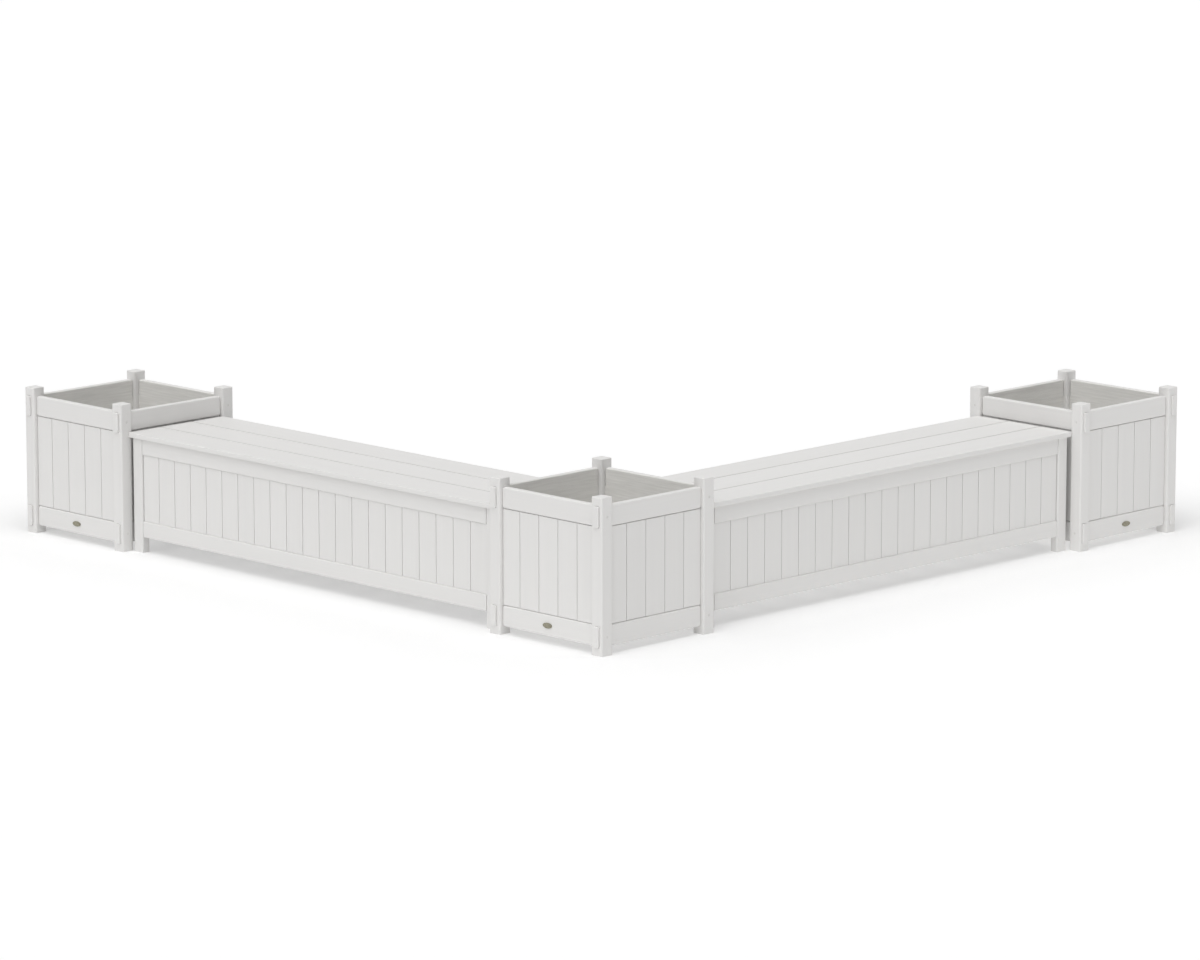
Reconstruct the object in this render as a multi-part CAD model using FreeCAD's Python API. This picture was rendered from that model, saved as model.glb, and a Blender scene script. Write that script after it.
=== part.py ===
import FreeCAD, Part
import os

from FreeCAD import Vector

# Bench with planter: three square planters and two storage benches, standing in an L.
# Millimetres, +Z up. The origin is on the ground, under the middle of the whole L.
# The corner planter is at low X and low Y. The left bench runs along +Y, the right bench along +X.

# Planter
PLANTER_SIDE = 518.0
PLANTER_HEIGHT = 519.0
POST_SIZE = 49.0
POST_EDGE_RADIUS = 6.0
POST_TOP_RADIUS = 3.0
PLANTER_RAIL_HEIGHT = 70.0
PLANTER_RAIL_SETBACK = 11.5
POST_ABOVE_TOP_RAIL = 29.0
PLANTER_GROUND_CLEARANCE = 27.5
PLANTER_BOARD_COUNT = 5
PLANTER_BOARD_STEP_BACK = 3.0
PLANTER_BOARD_END_WALL = 9.5
PLANTER_TENON_WALL = 2.8
PLANTER_SIDE_TENON_WALL = 14.0
PLANTER_BOARD_END_GAP = 2.0
PLANTER_BOARD_SIDE_GAP = 1.5
SIDE_RAIL_PROUD = 7.0
THROUGH_GAP = 0.8

# Lumber that planters and benches share
RAIL_THICKNESS = 22.5
RAIL_EDGE_RADIUS = 5.0
RAIL_CORNER_RADIUS = 9.0
RAIL_END_RADIUS = 1.5
TENON_SHOULDER = 11.0
TENON_CHEEK = 5.5
BOARD_THICKNESS = 16.0
BOARD_CHAMFER = 0.6
BOARD_SEAM = 2.2
TONGUE_THICKNESS = 5.0
TONGUE_LENGTH = 5.0
BOARD_RAIL_HOUSING = 8.0
JOINT_GAP = 0.2

# Planter floor
PLANTER_BEARER_WIDTH = 25.0
PLANTER_BEARER_HEIGHT = 30.0
PLANTER_BEARER_LIFT = 3.0
PLANTER_SLAT_COUNT = 5
PLANTER_SLAT_GAP = 8.0
PLANTER_SLAT_THICKNESS = 15.0

# Screws that lock the side rails, seen on the posts' side faces
LOCK_SCREW_HEAD_RADIUS = 4.4
LOCK_SCREW_HEAD_HEIGHT = 2.0
LOCK_SCREW_RADIUS = 2.2
LOCK_SCREW_LENGTH = 26.0
LOCK_SCREW_SUNK = 0.8
SCREW_GAP = 0.1

# Oval plaque on the planter's low front rail
PLAQUE_WIDTH = 40.0
PLAQUE_HEIGHT = 18.0
PLAQUE_THICKNESS = 2.4
PLAQUE_RIM_WIDTH = 1.8
PLAQUE_RIM_HEIGHT = 0.8
PLAQUE_DOME_INSET = 4.2
PLAQUE_DOME_HEIGHT = 0.7

# Bench frame
BENCH_HEIGHT = 420.0
FRAME_LENGTH = 1808.0
FRAME_DEPTH = 415.0
LEG_WIDTH = 46.5
LEG_DEPTH = 32.0
LEG_EDGE_RADIUS = 5.0
BENCH_RAIL_HEIGHT = 57.0
BENCH_RAIL_SETBACK = 2.0
BENCH_GROUND_CLEARANCE = 54.5
BENCH_LONG_BOARD_COUNT = 21
BENCH_END_BOARD_COUNT = 4
BENCH_BOARD_STEP_BACK = 5.2
BENCH_BOARD_HOUSING = 6.0
BENCH_BOARD_END_GAP = 0.6
BENCH_BOARD_SIDE_GAP = 2.8
BENCH_RAIL_END_GAP = 2.0
LONG_TENON_WALL = 6.3
END_RAIL_TENON = 12.0

# Bench floor
BENCH_BEARER_WIDTH = 22.0
BENCH_BEARER_HEIGHT = 28.0
BENCH_BEARER_LIFT = 1.5
BENCH_SLAT_COUNT = 10
BENCH_SLAT_WIDTH = 140.0
BENCH_SLAT_THICKNESS = 12.0

# Lid
PLANK_COUNT = 3
PLANK_THICKNESS = 17.5
PLANK_GAP = 3.0
PLANK_EDGE_RADIUS = 3.0
SEAT_SIDE_OVERHANG = 11.0
SEAT_END_OVERHANG = 10.5
LID_REST_GAP = 0.3
BATTEN_COUNT = 4
BATTEN_WIDTH = 50.0
BATTEN_THICKNESS = 20.0
BATTEN_END_INSET = 130.0
BATTEN_CLEARANCE = 13.0
BATTEN_EDGE_CHAMFER = 4.0

# Screws that hold the battens to the planks, two for each plank
BATTEN_SCREW_RADIUS = 2.2
BATTEN_SCREW_HEAD_RADIUS = 4.2
BATTEN_SCREW_HEAD_HEIGHT = 3.0
BATTEN_SCREW_SUNK = 1.5
BATTEN_SCREW_BITE = 9.5
BATTEN_SCREW_INSET = 20.0

# Butt hinges along the lid's rear edge
HINGE_COUNT = 3
HINGE_END_INSET = 260.0
HINGE_LENGTH = 76.0
LEAF_THICKNESS = 2.0
LEAF_WIDTH = 20.0
KNUCKLE_RADIUS = 4.5
KNUCKLE_GAP = 0.4
PIN_RADIUS = 2.5
PIN_GAP = 0.05
PIN_HEAD_RADIUS = 3.6
PIN_HEAD_HEIGHT = 1.2
HINGE_GAP = 0.3
LEAF_SCREW_COUNT = 3
LEAF_SCREW_RADIUS = 1.9
LEAF_SCREW_HEAD_RADIUS = 3.2
LEAF_SCREW_HEAD_HEIGHT = 1.4
LEAF_SCREW_LENGTH = 14.0

# How the five pieces stand together
UNIT_GAP = 0.8
SEAT_SETBACK = 36.2
BENCH_SIDE_SHIFT = 6.0

# How far a cut runs past the face that it opens
OVERCUT = 1.0

# Sizes that follow from the ones above
BOARD_SKIN = (BOARD_THICKNESS - TONGUE_THICKNESS) / 2
PLANTER_HALF = PLANTER_SIDE / 2
POST_INNER = PLANTER_HALF - POST_SIZE
TOP_RAIL_TOP = PLANTER_HEIGHT - POST_ABOVE_TOP_RAIL
TOP_RAIL_BOTTOM = TOP_RAIL_TOP - PLANTER_RAIL_HEIGHT
LOW_RAIL_BOTTOM = PLANTER_GROUND_CLEARANCE
LOW_RAIL_TOP = LOW_RAIL_BOTTOM + PLANTER_RAIL_HEIGHT
PLANTER_RAIL_SPANS = ((LOW_RAIL_BOTTOM, LOW_RAIL_TOP), (TOP_RAIL_BOTTOM, TOP_RAIL_TOP))
PLANTER_RAIL_FACE = PLANTER_HALF - PLANTER_RAIL_SETBACK
PLANTER_RAIL_INNER = PLANTER_RAIL_FACE - RAIL_THICKNESS
PLANTER_TENON_END = PLANTER_RAIL_INNER - PLANTER_TENON_WALL
PLANTER_SIDE_TENON_END = PLANTER_HALF - PLANTER_SIDE_TENON_WALL
PLANTER_OPENING = (LOW_RAIL_TOP, TOP_RAIL_BOTTOM)
PLANTER_BOARD_FACE = PLANTER_RAIL_FACE - PLANTER_BOARD_STEP_BACK
PLANTER_BOARD_INNER = PLANTER_BOARD_FACE - BOARD_THICKNESS
PLANTER_BOARD_END = PLANTER_BOARD_INNER - PLANTER_BOARD_END_WALL
PLANTER_BOARD_SPAN = (LOW_RAIL_TOP - BOARD_RAIL_HOUSING, TOP_RAIL_BOTTOM + BOARD_RAIL_HOUSING)

SEAT_LENGTH = FRAME_LENGTH + 2 * SEAT_END_OVERHANG
SEAT_DEPTH = FRAME_DEPTH + 2 * SEAT_SIDE_OVERHANG
LID_UNDERSIDE = BENCH_HEIGHT - PLANK_THICKNESS
FRAME_TOP = LID_UNDERSIDE - LID_REST_GAP
BENCH_TOP_RAIL_BOTTOM = FRAME_TOP - BENCH_RAIL_HEIGHT
BENCH_LOW_RAIL_TOP = BENCH_GROUND_CLEARANCE + BENCH_RAIL_HEIGHT
BENCH_RAIL_SPANS = ((BENCH_GROUND_CLEARANCE, BENCH_LOW_RAIL_TOP), (BENCH_TOP_RAIL_BOTTOM, FRAME_TOP))
BENCH_OPENING = (BENCH_LOW_RAIL_TOP, BENCH_TOP_RAIL_BOTTOM)
BENCH_BOARD_SPAN = (BENCH_LOW_RAIL_TOP - BOARD_RAIL_HOUSING, BENCH_TOP_RAIL_BOTTOM + BOARD_RAIL_HOUSING)
FRAME_HALF_X = FRAME_DEPTH / 2
FRAME_HALF_Y = FRAME_LENGTH / 2
LEG_INNER_X = FRAME_HALF_X - LEG_DEPTH
LEG_INNER_Y = FRAME_HALF_Y - LEG_WIDTH
LONG_TENON_END = FRAME_HALF_Y - BENCH_RAIL_SETBACK - RAIL_THICKNESS - LONG_TENON_WALL
END_TENON_END = LEG_INNER_X + END_RAIL_TENON
LONG_RAIL_FACE = FRAME_HALF_X - BENCH_RAIL_SETBACK
LONG_RAIL_INNER = LONG_RAIL_FACE - RAIL_THICKNESS
HINGE_X = LONG_RAIL_FACE + HINGE_GAP + KNUCKLE_RADIUS
HINGE_Z = LID_UNDERSIDE - HINGE_GAP - KNUCKLE_RADIUS
LID_LEAF_BOTTOM = LID_UNDERSIDE - LEAF_THICKNESS

ARM_STEP = PLANTER_SIDE + SEAT_LENGTH + 2 * UNIT_GAP
ROW_LENGTH = ARM_STEP + PLANTER_SIDE
ROW_MIDDLE = (ROW_LENGTH - SIDE_RAIL_PROUD) / 2

CENTRE = Vector(0, 0, 0)
X_AXIS = Vector(1, 0, 0)
Y_AXIS = Vector(0, 1, 0)
Z_AXIS = Vector(0, 0, 1)
SAME = 1e-6


def box(low, high):
    """A block between two corners."""
    return Part.makeBox(high[0] - low[0], high[1] - low[1], high[2] - low[2], Vector(*low))


def edges_along(shape, direction):
    """The straight edges of a block that run along one direction."""
    found = []
    for edge in shape.Edges:
        run = edge.Vertexes[-1].Point.sub(edge.Vertexes[0].Point)
        if run.Length > SAME and abs(abs(run.dot(direction)) - run.Length) < SAME:
            found.append(edge)
    return found


def edges_in_plane(shape, direction, distance):
    """The edges of a shape that lie in the plane at a distance along one direction."""
    return [edge for edge in shape.Edges
            if all(abs(v.Point.dot(direction) - distance) < SAME for v in edge.Vertexes)]


def rounded_box(low, high, direction, radius):
    """A block whose edges along one direction are rounded."""
    block = box(low, high)
    return block.makeFillet(radius, edges_along(block, direction))


def at_corner(x_side, y_side, x_pair, y_pair, z_pair):
    """The two corners of a block that is described at high X and high Y, for any of the four corners."""
    xs = sorted(x_side * x for x in x_pair)
    ys = sorted(y_side * y for y in y_pair)
    return (xs[0], ys[0], z_pair[0]), (xs[1], ys[1], z_pair[1])


def grown(pair, gap):
    return pair[0] - gap, pair[1] + gap


def turned(shape, degrees):
    copy = shape.copy()
    copy.rotate(CENTRE, Z_AXIS, degrees)
    return copy


def moved(shape, x, y, z=0.0):
    copy = shape.copy()
    copy.translate(Vector(x, y, z))
    return copy


def both_sides(shapes):
    """The shapes of one side and the same ones on the opposite side, half a turn on."""
    return shapes + [turned(shape, 180) for shape in shapes]


def cut_all(shape, tools):
    """The shape without the tools that reach it."""
    near = [tool for tool in tools if tool.BoundBox.intersect(shape.BoundBox)]
    return shape.cut(near) if near else shape


def screw(head_radius, head_height, radius, length):
    """A screw that points down, with the top of its head at the origin."""
    head = Part.makeCylinder(head_radius, head_height, CENTRE, Z_AXIS * -1)
    shank = Part.makeCylinder(radius, length, CENTRE, Z_AXIS * -1)
    return head.fuse(shank).removeSplitter()


def screw_hole(head_radius, head_height, radius, length, depth):
    """The hole of such a screw, open upwards over the depth that its head is sunk."""
    hole = screw(head_radius + SCREW_GAP, head_height + SCREW_GAP, radius + SCREW_GAP, length + SCREW_GAP)
    return hole.fuse(Part.makeCylinder(head_radius + SCREW_GAP, depth + OVERCUT))


def aimed(shape, point, outward):
    """A shape made along +Z, set at a point with its +Z turned outward."""
    copy = shape.copy()
    copy.Placement = FreeCAD.Placement(Vector(*point), FreeCAD.Rotation(Z_AXIS, outward))
    return copy


# Rails and boards are drawn as a front panel: they run along Y and their outside faces low X.

def board(y_low, y_high, z_pair, grooved, tongued):
    """One upright board with its outside at X = 0, a groove on one side and a tongue on the other."""
    tongue_low = BOARD_SKIN
    tongue_high = tongue_low + TONGUE_THICKNESS
    points = [(0.0, y_low + BOARD_CHAMFER)]
    points.append((0.0, y_high - BOARD_CHAMFER))
    points.append((BOARD_CHAMFER, y_high))
    if tongued:
        points.append((tongue_low, y_high))
        points.append((tongue_low, y_high + TONGUE_LENGTH))
        points.append((tongue_high, y_high + TONGUE_LENGTH))
        points.append((tongue_high, y_high))
    points.append((BOARD_THICKNESS, y_high))
    points.append((BOARD_THICKNESS, y_low))
    if grooved:
        groove_end = y_low + TONGUE_LENGTH + JOINT_GAP - BOARD_SEAM
        points.append((tongue_high + JOINT_GAP, y_low))
        points.append((tongue_high + JOINT_GAP, groove_end))
        points.append((tongue_low - JOINT_GAP, groove_end))
        points.append((tongue_low - JOINT_GAP, y_low))
    points.append((BOARD_CHAMFER, y_low))
    outline = Part.makePolygon([Vector(x, y, z_pair[0]) for x, y in points + points[:1]])
    return Part.Face(outline).extrude(Z_AXIS * (z_pair[1] - z_pair[0]))


def board_panel(seam_half, end_half, count, face, z_pair):
    """Boards side by side. Their seams share out one width evenly, and the outer two reach to another."""
    pitch = 2 * seam_half / count
    boards = []
    for i in range(count):
        y_low = -seam_half + i * pitch + BOARD_SEAM / 2
        y_high = -seam_half + (i + 1) * pitch - BOARD_SEAM / 2
        if i == 0:
            y_low = -end_half
        if i == count - 1:
            y_high = end_half
        boards.append(moved(board(y_low, y_high, z_pair, i > 0, i < count - 1), -face, 0))
    return boards


def trimmed_boards(boards, face, end_half, z_pair, opening_half, side_gap, opening, end_gap):
    """The boards with their front layer cut back all round, a gap short of the posts and rails."""
    outer = box((-face - OVERCUT, -end_half - OVERCUT, z_pair[0] - OVERCUT),
                (-face + BOARD_SKIN, end_half + OVERCUT, z_pair[1] + OVERCUT))
    half = opening_half - side_gap
    inner = box((-face - 2 * OVERCUT, -half, opening[0] + end_gap),
                (-face + BOARD_SKIN + OVERCUT, half, opening[1] - end_gap))
    rim = outer.cut(inner)
    return [board.cut(rim) for board in boards]


def rail_plank(y_pair, z_pair, face, soft_ends):
    """The part of a rail that shows, with its long edges rounded. A soft end is rounded all round too."""
    block = box((-face, y_pair[0], z_pair[0]), (-face + RAIL_THICKNESS, y_pair[1], z_pair[1]))
    plain_ends = [y for y in y_pair if y not in soft_ends]
    corners = [edge for edge in edges_along(block, X_AXIS)
               if any(abs(edge.Vertexes[0].Point.y - y) < SAME for y in soft_ends)]
    if corners:
        block = block.makeFillet(RAIL_CORNER_RADIUS, corners)
    outline = edges_in_plane(block, X_AXIS, -face) + edges_in_plane(block, X_AXIS, -face + RAIL_THICKNESS)
    rounded = [edge for edge in outline
               if not any(all(abs(v.Point.y - y) < SAME for v in edge.Vertexes) for y in plain_ends)]
    return block.makeFillet(RAIL_EDGE_RADIUS, rounded)


def panel_rail(plank, tenon_pair, z_pair, face, step_back, board_half, board_z):
    """A plank with its tenons, cut away behind a lip where the boards' back layer is let in."""
    tenons = box((-face + TENON_CHEEK, tenon_pair[0], z_pair[0] + TENON_SHOULDER),
                 (-face + RAIL_THICKNESS - TENON_CHEEK, tenon_pair[1], z_pair[1] - TENON_SHOULDER))
    cut_low = max(z_pair[0] - OVERCUT, board_z[0] - JOINT_GAP)
    cut_high = min(z_pair[1] + OVERCUT, board_z[1] + JOINT_GAP)
    rabbet_low = (-face + step_back + BOARD_SKIN - JOINT_GAP, -board_half - JOINT_GAP, cut_low)
    rabbet_high = (-face + RAIL_THICKNESS + OVERCUT, board_half + JOINT_GAP, cut_high)
    return plank.fuse(tenons).removeSplitter().cut(box(rabbet_low, rabbet_high))


def planter_rails(y_pair, soft_ends, tenon_pair):
    """The low and the top rail of one side of a planter."""
    rails = []
    for span in PLANTER_RAIL_SPANS:
        plank = rail_plank(y_pair, span, PLANTER_RAIL_FACE, soft_ends)
        rails.append(panel_rail(plank, tenon_pair, span, PLANTER_RAIL_FACE, PLANTER_BOARD_STEP_BACK,
                                PLANTER_BOARD_END, PLANTER_BOARD_SPAN))
    return rails


def cross_rails():
    """The front and rear rails, with soft ends against the posts and a tenon in each."""
    ends = (JOINT_GAP - POST_INNER, POST_INNER - JOINT_GAP)
    return both_sides(planter_rails(ends, ends, (-PLANTER_TENON_END, PLANTER_TENON_END)))


def side_rails():
    """The side rails: whole through the front posts and standing proud, tenoned in the rear ones."""
    proud_end = PLANTER_HALF + SIDE_RAIL_PROUD
    rear_end = JOINT_GAP - POST_INNER
    right = []
    for rail in planter_rails((rear_end, proud_end), (rear_end,), (-PLANTER_SIDE_TENON_END, 0.0)):
        rail = rail.makeFillet(RAIL_END_RADIUS, edges_in_plane(rail, Y_AXIS, proud_end))
        right.append(turned(rail, 90))
    left = [rail.mirror(CENTRE, Y_AXIS) for rail in right]
    holes = lock_screw_holes()
    return [cut_all(rail, holes) for rail in right + left]


def planter_boards():
    """The five boards of one side of a planter."""
    boards = board_panel(PLANTER_BOARD_END, PLANTER_BOARD_END, PLANTER_BOARD_COUNT,
                         PLANTER_BOARD_FACE, PLANTER_BOARD_SPAN)
    return trimmed_boards(boards, PLANTER_BOARD_FACE, PLANTER_BOARD_END, PLANTER_BOARD_SPAN,
                          POST_INNER, PLANTER_BOARD_SIDE_GAP, PLANTER_OPENING, PLANTER_BOARD_END_GAP)


def at_lock_screws(shape):
    """A screw or a hole at each place where a side rail is locked in its post."""
    placed = []
    for side in (-1, 1):
        for end in (-1, 1):
            for low, high in PLANTER_RAIL_SPANS:
                x = end * (PLANTER_HALF - POST_SIZE / 2)
                y = side * (PLANTER_HALF - LOCK_SCREW_SUNK)
                placed.append(aimed(shape, (x, y, (low + high) / 2), Y_AXIS * side))
    return placed


def lock_screws():
    return at_lock_screws(screw(LOCK_SCREW_HEAD_RADIUS, LOCK_SCREW_HEAD_HEIGHT,
                                LOCK_SCREW_RADIUS, LOCK_SCREW_LENGTH))


def lock_screw_holes():
    return at_lock_screws(screw_hole(LOCK_SCREW_HEAD_RADIUS, LOCK_SCREW_HEAD_HEIGHT,
                                     LOCK_SCREW_RADIUS, LOCK_SCREW_LENGTH, LOCK_SCREW_SUNK))


def through_mortise(x_side, y_side, x_pair, y_pair, z_pair):
    """A rounded hole right through a post, for a rail that runs along X, with an even gap around it."""
    low, high = at_corner(x_side, y_side, x_pair, grown(y_pair, THROUGH_GAP), grown(z_pair, THROUGH_GAP))
    return rounded_box(low, high, X_AXIS, RAIL_EDGE_RADIUS + THROUGH_GAP)


def tenon_pocket(x_side, y_side, x_pair, y_pair, z_pair):
    """A square hole in a post or leg for the tenon of a rail of this height."""
    return box(*at_corner(x_side, y_side, x_pair, y_pair, grown(z_pair, JOINT_GAP - TENON_SHOULDER)))


def planter_post(x_side, y_side):
    """One post with its mortises for the rails, its grooves for the boards and its screw holes."""
    low, high = at_corner(x_side, y_side, (POST_INNER, PLANTER_HALF), (POST_INNER, PLANTER_HALF),
                          (0.0, PLANTER_HEIGHT))
    post = rounded_box(low, high, Z_AXIS, POST_EDGE_RADIUS)
    post = post.makeFillet(POST_TOP_RADIUS, edges_in_plane(post, Z_AXIS, PLANTER_HEIGHT))
    across = (PLANTER_RAIL_INNER, PLANTER_RAIL_FACE)
    tenon_across = grown(across, JOINT_GAP - TENON_CHEEK)
    pocket = (POST_INNER - OVERCUT, PLANTER_TENON_END + JOINT_GAP)
    side_pocket = (POST_INNER - OVERCUT, PLANTER_SIDE_TENON_END + JOINT_GAP)
    through = (POST_INNER - OVERCUT, PLANTER_HALF + OVERCUT)
    cuts = lock_screw_holes()
    for span in PLANTER_RAIL_SPANS:
        cuts.append(tenon_pocket(x_side, y_side, tenon_across, pocket, span))
        if x_side < 0:
            cuts.append(through_mortise(x_side, y_side, through, across, span))
        else:
            cuts.append(tenon_pocket(x_side, y_side, side_pocket, tenon_across, span))
    board_across = grown((PLANTER_BOARD_INNER, PLANTER_BOARD_FACE - BOARD_SKIN), JOINT_GAP)
    board_along = (POST_INNER - OVERCUT, PLANTER_BOARD_END + JOINT_GAP)
    board_z = grown(PLANTER_BOARD_SPAN, JOINT_GAP)
    cuts.append(box(*at_corner(x_side, y_side, board_across, board_along, board_z)))
    cuts.append(box(*at_corner(x_side, y_side, board_along, board_across, board_z)))
    return cut_all(post, cuts)


def planter_bearers():
    """Two bearers along the side rails, under the floor."""
    bottom = LOW_RAIL_BOTTOM + PLANTER_BEARER_LIFT
    low = (JOINT_GAP - POST_INNER, PLANTER_RAIL_INNER - PLANTER_BEARER_WIDTH, bottom)
    high = (POST_INNER - JOINT_GAP, PLANTER_RAIL_INNER, bottom + PLANTER_BEARER_HEIGHT)
    return both_sides([box(low, high)])


def planter_slats():
    """Floor slats across the bearers, with gaps that let the water out."""
    reach = POST_INNER - JOINT_GAP
    half = PLANTER_RAIL_INNER - JOINT_GAP
    bottom = LOW_RAIL_BOTTOM + PLANTER_BEARER_LIFT + PLANTER_BEARER_HEIGHT
    width = (2 * reach - (PLANTER_SLAT_COUNT - 1) * PLANTER_SLAT_GAP) / PLANTER_SLAT_COUNT
    slats = []
    for i in range(PLANTER_SLAT_COUNT):
        x = -reach + i * (width + PLANTER_SLAT_GAP)
        slats.append(box((x, -half, bottom), (x + width, half, bottom + PLANTER_SLAT_THICKNESS)))
    return slats


def oval_plate(inset, thickness):
    """An oval plate that faces low X, smaller than the plaque by an inset all round."""
    curve = Part.Ellipse(CENTRE, PLAQUE_WIDTH / 2 - inset, PLAQUE_HEIGHT / 2 - inset)
    face = Part.Face(Part.Wire(curve.toShape()))
    face.rotate(CENTRE, X_AXIS, 90)
    face.rotate(CENTRE, Z_AXIS, 90)
    return face.extrude(X_AXIS * -thickness)


def plaque():
    """A blank oval plaque with a raised rim and a raised middle."""
    rim = oval_plate(0.0, PLAQUE_THICKNESS + PLAQUE_RIM_HEIGHT)
    hollow = oval_plate(PLAQUE_RIM_WIDTH, PLAQUE_THICKNESS + PLAQUE_RIM_HEIGHT + OVERCUT)
    floor = oval_plate(0.0, PLAQUE_THICKNESS)
    middle = oval_plate(PLAQUE_DOME_INSET, PLAQUE_THICKNESS + PLAQUE_DOME_HEIGHT)
    whole = floor.fuse([rim.cut(hollow), middle]).removeSplitter()
    return moved(whole, -PLANTER_RAIL_FACE, 0, (LOW_RAIL_BOTTOM + LOW_RAIL_TOP) / 2)


def make_planter():
    """A planter around the origin, with its front towards low X."""
    boards = planter_boards()
    return {
        "posts": [planter_post(x, y) for x in (-1, 1) for y in (-1, 1)],
        "cross_rails": cross_rails(),
        "side_rails": side_rails(),
        "front_boards": boards,
        "rear_boards": [turned(b, 180) for b in boards],
        "side_boards": both_sides([turned(b, 90) for b in boards]),
        "floor_bearers": planter_bearers(),
        "floor_slats": planter_slats(),
        "rail_screws": lock_screws(),
        "plaque": [plaque()],
    }


def bench_leg(x_side, y_side):
    """One leg with pockets for the rails of both sides and grooves for their boards."""
    low, high = at_corner(x_side, y_side, (LEG_INNER_X, FRAME_HALF_X), (LEG_INNER_Y, FRAME_HALF_Y),
                          (0.0, FRAME_TOP))
    leg = rounded_box(low, high, Z_AXIS, LEG_EDGE_RADIUS)
    end_rail_face = FRAME_HALF_Y - BENCH_RAIL_SETBACK
    rail_x = grown((LONG_RAIL_INNER, LONG_RAIL_FACE), JOINT_GAP - TENON_CHEEK)
    rail_y = grown((end_rail_face - RAIL_THICKNESS, end_rail_face), JOINT_GAP - TENON_CHEEK)
    pocket_x = (LEG_INNER_X - OVERCUT, END_TENON_END + JOINT_GAP)
    pocket_y = (LEG_INNER_Y - OVERCUT, LONG_TENON_END + JOINT_GAP)
    cuts = []
    for span in BENCH_RAIL_SPANS:
        cuts.append(tenon_pocket(x_side, y_side, rail_x, pocket_y, span))
        cuts.append(tenon_pocket(x_side, y_side, pocket_x, rail_y, span))
    board_out = BENCH_RAIL_SETBACK + BENCH_BOARD_STEP_BACK + BOARD_SKIN - JOINT_GAP
    board_in = BENCH_RAIL_SETBACK + BENCH_BOARD_STEP_BACK + BOARD_THICKNESS + JOINT_GAP
    board_x = (FRAME_HALF_X - board_in, FRAME_HALF_X - board_out)
    board_y = (FRAME_HALF_Y - board_in, FRAME_HALF_Y - board_out)
    groove_x = (LEG_INNER_X - OVERCUT, LEG_INNER_X + BENCH_BOARD_HOUSING + JOINT_GAP)
    groove_y = (LEG_INNER_Y - OVERCUT, LEG_INNER_Y + BENCH_BOARD_HOUSING + JOINT_GAP)
    board_z = grown(BENCH_BOARD_SPAN, JOINT_GAP)
    cuts.append(box(*at_corner(x_side, y_side, board_x, groove_y, board_z)))
    cuts.append(box(*at_corner(x_side, y_side, groove_x, board_y, board_z)))
    return cut_all(leg, cuts)


def bench_rails(tenon_end, leg_inner, frame_half):
    """The low and the top rail of one side of a bench, a little short of the legs but for their tenons."""
    face = frame_half - BENCH_RAIL_SETBACK
    end = leg_inner - BENCH_RAIL_END_GAP
    rails = []
    for span in BENCH_RAIL_SPANS:
        plank = rail_plank((-end, end), span, face, ())
        rails.append(panel_rail(plank, (-tenon_end, tenon_end), span, face, BENCH_BOARD_STEP_BACK,
                                leg_inner + BENCH_BOARD_HOUSING, BENCH_BOARD_SPAN))
    return rails


def bench_boards(leg_inner, frame_half, count):
    """The boards of one side of a bench: all alike to the eye, with the outer two let into the legs."""
    face = frame_half - BENCH_RAIL_SETBACK - BENCH_BOARD_STEP_BACK
    end = leg_inner + BENCH_BOARD_HOUSING
    boards = board_panel(leg_inner, end, count, face, BENCH_BOARD_SPAN)
    return trimmed_boards(boards, face, end, BENCH_BOARD_SPAN,
                          leg_inner, BENCH_BOARD_SIDE_GAP, BENCH_OPENING, BENCH_BOARD_END_GAP)


def bench_bearers():
    """Two bearers along the long rails, under the floor."""
    bottom = BENCH_GROUND_CLEARANCE + BENCH_BEARER_LIFT
    low = (LONG_RAIL_INNER - BENCH_BEARER_WIDTH, JOINT_GAP - LEG_INNER_Y, bottom)
    high = (LONG_RAIL_INNER, LEG_INNER_Y - JOINT_GAP, bottom + BENCH_BEARER_HEIGHT)
    return both_sides([box(low, high)])


def bench_slats():
    """Floor slats across the bearers."""
    reach = LEG_INNER_Y - JOINT_GAP
    half = LONG_RAIL_INNER - JOINT_GAP
    bottom = BENCH_GROUND_CLEARANCE + BENCH_BEARER_LIFT + BENCH_BEARER_HEIGHT
    top = bottom + BENCH_SLAT_THICKNESS
    pitch = 2 * reach / BENCH_SLAT_COUNT
    slats = []
    for i in range(BENCH_SLAT_COUNT):
        y = -reach + (i + 0.5) * pitch - BENCH_SLAT_WIDTH / 2
        slats.append(box((-half, y, bottom), (half, y + BENCH_SLAT_WIDTH, top)))
    return slats


def spread(count, half):
    """Even places from one end to the other."""
    return [-half + 2 * half * i / (count - 1) for i in range(count)]


def hinge_places():
    return spread(HINGE_COUNT, FRAME_HALF_Y - HINGE_END_INSET)


def leaf_screws_at(shape, middle, x, z, outward):
    """Screws or holes in a row along one leaf."""
    step = HINGE_LENGTH / LEAF_SCREW_COUNT
    places = spread(LEAF_SCREW_COUNT, (LEAF_SCREW_COUNT - 1) / 2 * step)
    return [aimed(shape, (x, middle + y, z), outward) for y in places]


def frame_leaf_screws_at(shape, middle):
    """Through the leaf on the rear rail, from behind."""
    z = HINGE_Z - KNUCKLE_RADIUS - LEAF_WIDTH / 2
    return leaf_screws_at(shape, middle, LONG_RAIL_FACE + LEAF_THICKNESS, z, X_AXIS)


def lid_leaf_screws_at(shape, middle):
    """Through the leaf under the lid, from below."""
    return leaf_screws_at(shape, middle, LONG_RAIL_FACE - LEAF_WIDTH / 2, LID_LEAF_BOTTOM, Z_AXIS * -1)


def leaf_screw():
    return screw(LEAF_SCREW_HEAD_RADIUS, LEAF_SCREW_HEAD_HEIGHT, LEAF_SCREW_RADIUS, LEAF_SCREW_LENGTH)


def leaf_screw_hole():
    return screw_hole(LEAF_SCREW_HEAD_RADIUS, LEAF_SCREW_HEAD_HEIGHT,
                      LEAF_SCREW_RADIUS, LEAF_SCREW_LENGTH, 0.0)


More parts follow.
